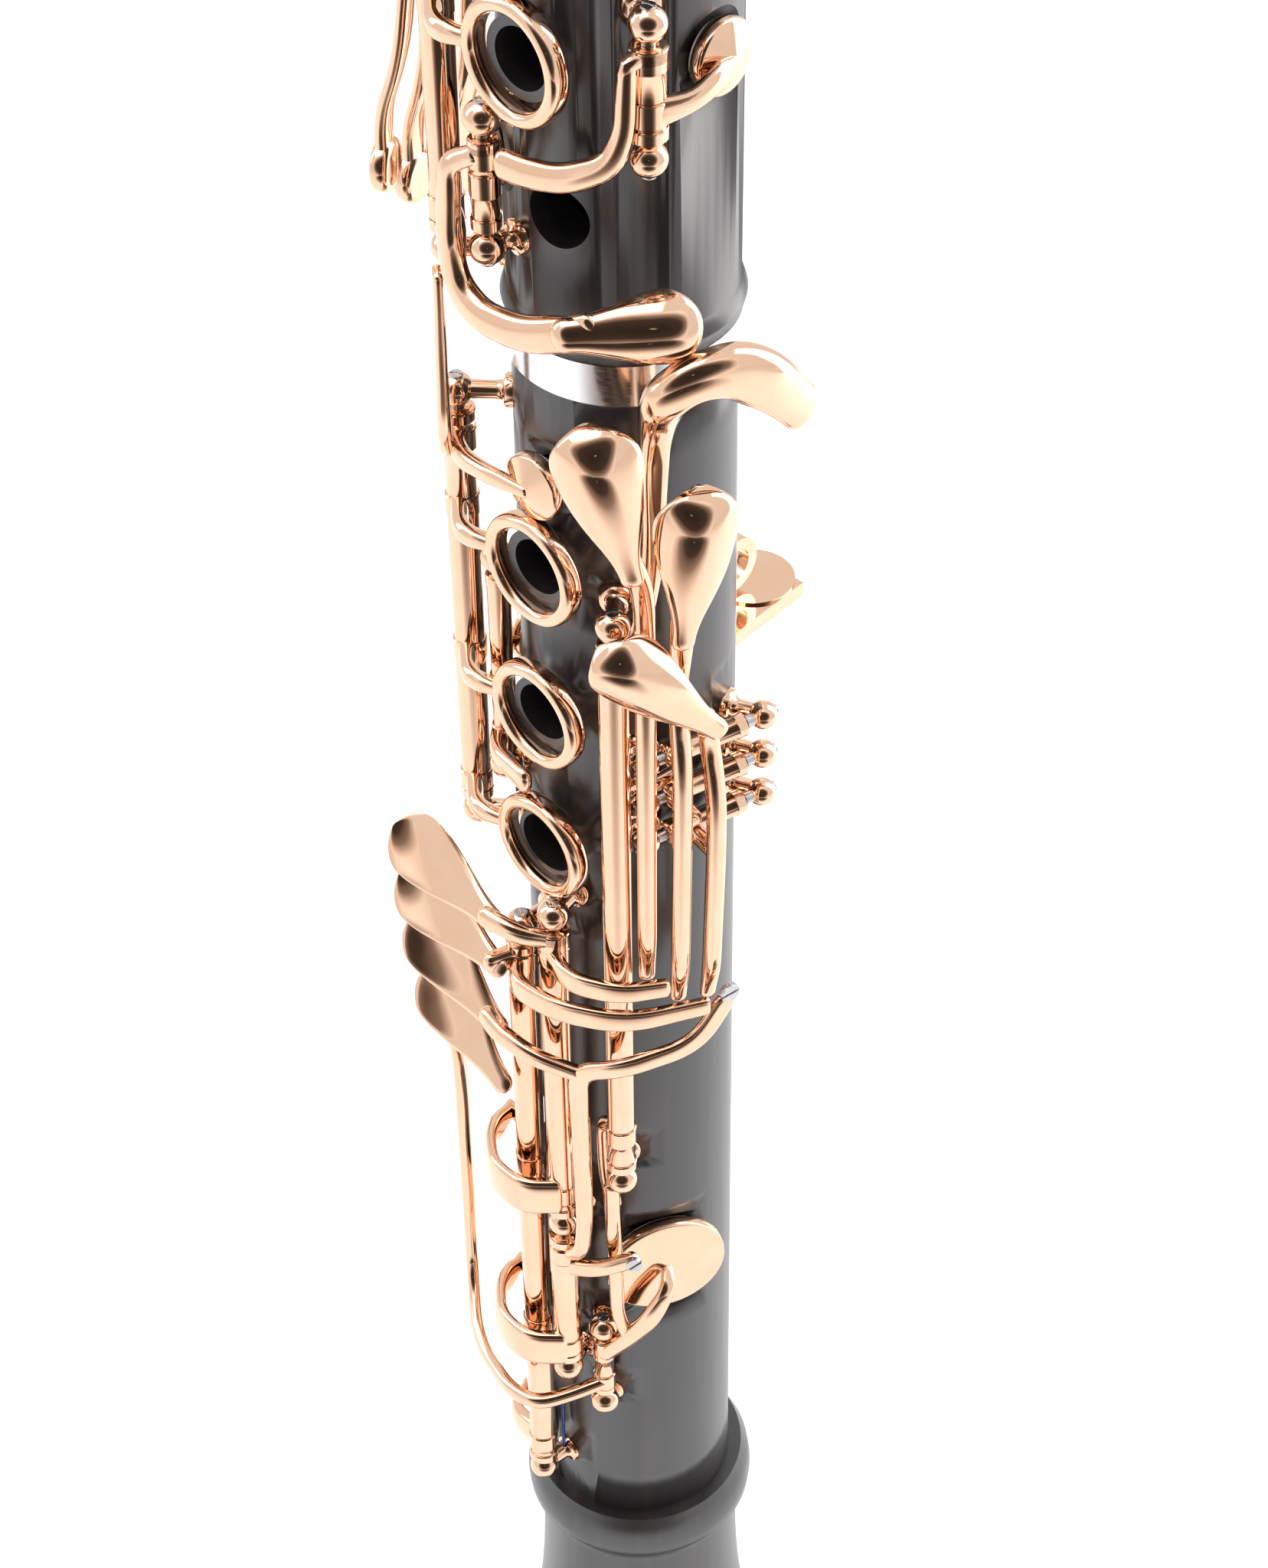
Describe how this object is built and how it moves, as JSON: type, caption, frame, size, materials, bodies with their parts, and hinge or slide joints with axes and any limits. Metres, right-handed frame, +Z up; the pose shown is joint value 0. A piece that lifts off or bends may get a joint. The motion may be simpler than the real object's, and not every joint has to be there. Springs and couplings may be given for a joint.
{
  "type": "soprano clarinet",
  "caption": "Boehm-system soprano clarinet in B flat: bell, two wooden joints, barrel and mouthpiece with sprung keys, levers, finger rings and pads.",
  "frame": {"origin": "centre of the bell rim, on the plane that the bell stands on", "axes": "+Z up the bore to the mouthpiece tip; -Y is the front with the finger holes; +X is the player's left"},
  "size_m": [0.079, 0.079, 0.672],
  "materials": {
    "blackwood": "oiled and polished grenadilla, fine straight grain",
    "hard_rubber": "polished black hard rubber",
    "cane": "bare cane with lengthwise fibres",
    "cork": "thin greased cork",
    "silver_plate": "bright silver plate",
    "steel": "turned bright steel",
    "blued_steel": "blued spring steel",
    "white_leather": "fine white pad skin",
    "rose_gold": "mirror-polished rose-gold plate"
  },
  "bodies": {
    "root": {"bell": "blackwood", "lower_joint": "blackwood", "socket_ring": "silver_plate", "upper_joint": "blackwood", "barrel": "blackwood", "barrel_rings": "silver_plate", "mouthpiece": "hard_rubber", "reed": "cane", "ligature": "rose_gold", "ligature_screws": "rose_gold", "tenon_corks": "cork", "thumb_rest": "rose_gold", "thumb_rest_screws": "steel", "vent_tubes": "steel", "lower_posts": "rose_gold", "upper_posts": "rose_gold", "lower_rods": "steel", "upper_rods": "steel", "lower_springs": "blued_steel", "upper_springs": "blued_steel"},
    "lower_ring_body": {"lower_ring_key": "rose_gold", "lower_ring_pad": "white_leather"},
    "sliver_body": {"sliver_key": "rose_gold", "sliver_pad": "white_leather"},
    "e_b_body": {"e_b_key": "rose_gold", "e_b_pad": "white_leather"},
    "f_c_body": {"f_c_key": "rose_gold", "f_c_pad": "white_leather"},
    "f_sharp_body": {"f_sharp_key": "rose_gold", "f_sharp_pad": "white_leather"},
    "a_flat_body": {"a_flat_key": "rose_gold", "a_flat_pad": "white_leather"},
    "hook_lever_body": {"hook_lever": "rose_gold"},
    "upper_ring_body": {"upper_ring_key": "rose_gold", "upper_ring_pad": "white_leather"},
    "c_sharp_body": {"c_sharp_key": "rose_gold", "c_sharp_pad": "white_leather"},
    "e_flat_body": {"e_flat_key": "rose_gold", "e_flat_pad": "white_leather"},
    "thumb_ring_body": {"thumb_ring_key": "rose_gold", "thumb_ring_pad": "white_leather"},
    "lever_f_sharp_body": {"lever_f_sharp": "rose_gold"},
    "lever_e_b_body": {"lever_e_b": "rose_gold"},
    "lever_f_c_body": {"lever_f_c": "rose_gold"},
    "side_1_body": {"side_key_1": "rose_gold", "side_pad_1": "white_leather"},
    "side_2_body": {"side_key_2": "rose_gold", "side_pad_2": "white_leather"},
    "side_3_body": {"side_key_3": "rose_gold", "side_pad_3": "white_leather"},
    "side_4_body": {"side_key_4": "rose_gold", "side_pad_4": "white_leather"},
    "throat_a_body": {"throat_a_key": "rose_gold", "throat_a_pad": "white_leather"},
    "throat_g_sharp_body": {"throat_g_sharp_key": "rose_gold", "throat_g_sharp_pad": "white_leather"},
    "register_body": {"register_key": "rose_gold", "register_pad": "white_leather"}
  },
  "joints": [
    {"name": "lower_ring_hinge", "type": "hinge", "parent": "root", "child": "lower_ring_body", "pos_m": [-0.01694, -0.01324, 0.2851], "axis": [0, 0, 1], "range_deg": [0, 4.5], "stiffness_Nm_per_rad": 0.02, "springref_deg": -2.86},
    {"name": "sliver_hinge", "type": "hinge", "parent": "root", "child": "sliver_body", "pos_m": [-0.01065, -0.01363, 0.2795], "axis": [0, 0, 1], "range_deg": [0, 7], "stiffness_Nm_per_rad": 0.02, "springref_deg": -2.86},
    {"name": "e_b_hinge", "type": "hinge", "parent": "root", "child": "e_b_body", "pos_m": [-0.00313, -0.01975, 0.177], "axis": [0, 0, -1], "range_deg": [0, 6.6], "stiffness_Nm_per_rad": 0.02, "springref_deg": -2.86},
    {"name": "f_c_hinge", "type": "hinge", "parent": "root", "child": "f_c_body", "pos_m": [0.00313, -0.01975, 0.1632], "axis": [0, 0, -1], "range_deg": [0, 4.5], "stiffness_Nm_per_rad": 0.02, "springref_deg": -2.86},
    {"name": "f_sharp_hinge", "type": "hinge", "parent": "root", "child": "f_sharp_body", "pos_m": [0.00313, -0.01975, 0.21285], "axis": [0, 0, -1], "range_deg": [0, 6], "stiffness_Nm_per_rad": 0.02, "springref_deg": -2.86},
    {"name": "a_flat_hinge", "type": "hinge", "parent": "root", "child": "a_flat_body", "pos_m": [0.00696, -0.01562, 0.1455], "axis": [0, 0, -1], "range_deg": [0, 7], "stiffness_Nm_per_rad": 0.02, "springref_deg": -2.86},
    {"name": "hook_lever_hinge", "type": "hinge", "parent": "root", "child": "hook_lever_body", "pos_m": [0.01205, -0.01634, 0.2468], "axis": [0, 0, 1], "range_deg": [0, 8.4], "stiffness_Nm_per_rad": 0.02, "springref_deg": -2.86},
    {"name": "upper_ring_hinge", "type": "hinge", "parent": "root", "child": "upper_ring_body", "pos_m": [-0.01694, -0.01324, 0.3757], "axis": [0, 0, 1], "range_deg": [0, 4.5], "stiffness_Nm_per_rad": 0.02, "springref_deg": -2.86},
    {"name": "c_sharp_hinge", "type": "hinge", "parent": "root", "child": "c_sharp_body", "pos_m": [-0.00565, -0.01793, 0.3589], "axis": [0, 0, 1], "range_deg": [0, 6], "stiffness_Nm_per_rad": 0.02, "springref_deg": -2.86},
    {"name": "e_flat_hinge", "type": "hinge", "parent": "root", "child": "e_flat_body", "pos_m": [0.01469, -0.01173, 0.3763], "axis": [0, 0, -1], "range_deg": [0, 6], "stiffness_Nm_per_rad": 0.02, "springref_deg": -2.86},
    {"name": "thumb_ring_hinge", "type": "hinge", "parent": "root", "child": "thumb_ring_body", "pos_m": [0.01615, 0.01262, 0.421], "axis": [0, 0, 1], "range_deg": [0, 4.5], "stiffness_Nm_per_rad": 0.02, "springref_deg": -2.86},
    {"name": "lever_f_sharp_pivot", "type": "hinge", "parent": "root", "child": "lever_f_sharp_body", "pos_m": [0.01577, -0.00467, 0.274], "axis": [-0.284, -0.9588, 0], "range_deg": [0, 3], "stiffness_Nm_per_rad": 0.02, "springref_deg": -2.86},
    {"name": "lever_e_b_pivot", "type": "hinge", "parent": "root", "child": "lever_e_b_body", "pos_m": [0.01577, -0.00467, 0.267], "axis": [-0.284, -0.9588, 0], "range_deg": [0, 4.2], "stiffness_Nm_per_rad": 0.02, "springref_deg": -2.86},
    {"name": "lever_f_c_pivot", "type": "hinge", "parent": "root", "child": "lever_f_c_body", "pos_m": [0.01577, -0.00467, 0.26], "axis": [-0.284, -0.9588, 0], "range_deg": [0, 3], "stiffness_Nm_per_rad": 0.02, "springref_deg": -2.86},
    {"name": "side_1_pivot", "type": "hinge", "parent": "root", "child": "side_1_body", "pos_m": [-0.01595, -0.00744, 0.42], "axis": [0.4226, -0.9063, 0], "range_deg": [0, 3.5], "stiffness_Nm_per_rad": 0.02, "springref_deg": -2.86},
    {"name": "side_2_pivot", "type": "hinge", "parent": "root", "child": "side_2_body", "pos_m": [-0.01722, -0.00366, 0.412], "axis": [0.2079, -0.9781, 0], "range_deg": [0, 3.5], "stiffness_Nm_per_rad": 0.02, "springref_deg": -2.86},
    {"name": "side_3_pivot", "type": "hinge", "parent": "root", "child": "side_3_body", "pos_m": [-0.0176, 0.00031, 0.404], "axis": [-0.0175, -0.9998, 0], "range_deg": [0, 3.5], "stiffness_Nm_per_rad": 0.02, "springref_deg": -2.86},
    {"name": "side_4_pivot", "type": "hinge", "parent": "root", "child": "side_4_body", "pos_m": [-0.01708, 0.00426, 0.396], "axis": [-0.2419, -0.9703, 0], "range_deg": [0, 3.5], "stiffness_Nm_per_rad": 0.02, "springref_deg": -2.86},
    {"name": "throat_a_pivot", "type": "hinge", "parent": "root", "child": "throat_a_body", "pos_m": [0.00239, -0.01703, 0.473], "axis": [0.9903, 0.1392, 0], "range_deg": [0, 5], "stiffness_Nm_per_rad": 0.02, "springref_deg": -2.86},
    {"name": "throat_g_sharp_pivot", "type": "hinge", "parent": "root", "child": "throat_g_sharp_body", "pos_m": [0.01195, -0.01237, 0.462], "axis": [0.7193, 0.6947, 0], "range_deg": [0, 5], "stiffness_Nm_per_rad": 0.02, "springref_deg": -2.86},
    {"name": "register_pivot", "type": "hinge", "parent": "root", "child": "register_body", "pos_m": [0, 0.0172, 0.47], "axis": [-1, 0, 0], "range_deg": [0, 4], "stiffness_Nm_per_rad": 0.02, "springref_deg": -2.86}
  ],
  "couplings": [
    {"joint": "lever_f_sharp_pivot", "follows": "f_sharp_hinge", "ratio": 0.45},
    {"joint": "lever_e_b_pivot", "follows": "e_b_hinge", "ratio": 0.6},
    {"joint": "lever_f_c_pivot", "follows": "f_c_hinge", "ratio": 0.62},
    {"joint": "hook_lever_hinge", "follows": "a_flat_hinge", "ratio": 1.1},
    {"joint": "upper_ring_hinge", "follows": "lower_ring_hinge", "ratio": 1}
  ]
}
